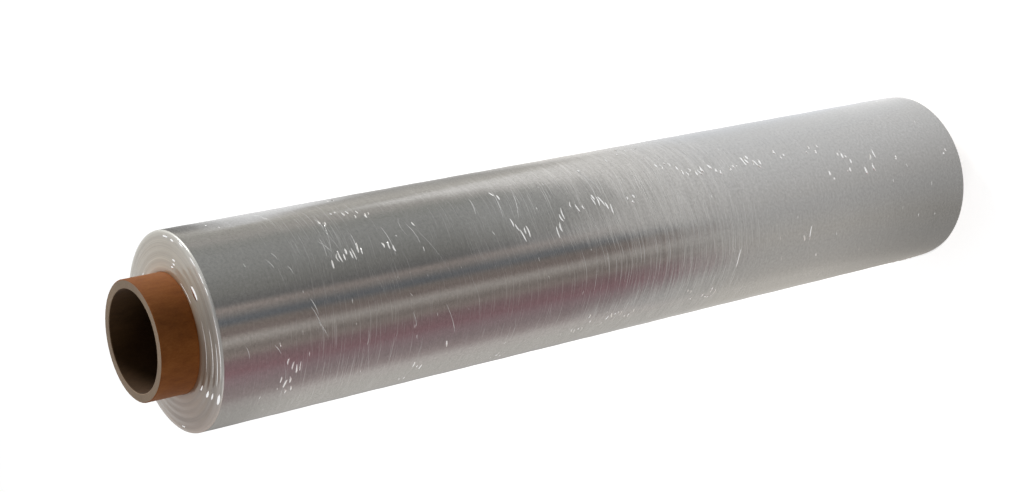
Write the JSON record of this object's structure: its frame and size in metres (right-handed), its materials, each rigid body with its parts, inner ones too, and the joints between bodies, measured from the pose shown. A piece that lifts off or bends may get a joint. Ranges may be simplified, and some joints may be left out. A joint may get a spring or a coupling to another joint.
{
  "type": "stretch wrap roll",
  "caption": "Clear stretch film wound on a spiral cardboard core that stands out at both ends, standing upright on the core's end.",
  "frame": {"origin": "centre of the core's lower end, on the surface that the roll stands on", "axes": "+Z along the roll's axis, up, towards the end whose turns are telescoped outwards; +Y towards the free edge of the last lap"},
  "size_m": [0.0996, 0.0998, 0.54],
  "materials": {
    "cardboard": "matt brown kraft paper, spirally wound",
    "stretch_film": "clear stretch film wound many turns deep, silvery and glossy"
  },
  "bodies": {
    "root": {"cardboard_core": "cardboard", "film_roll": "stretch_film"}
  },
  "joints": []
}
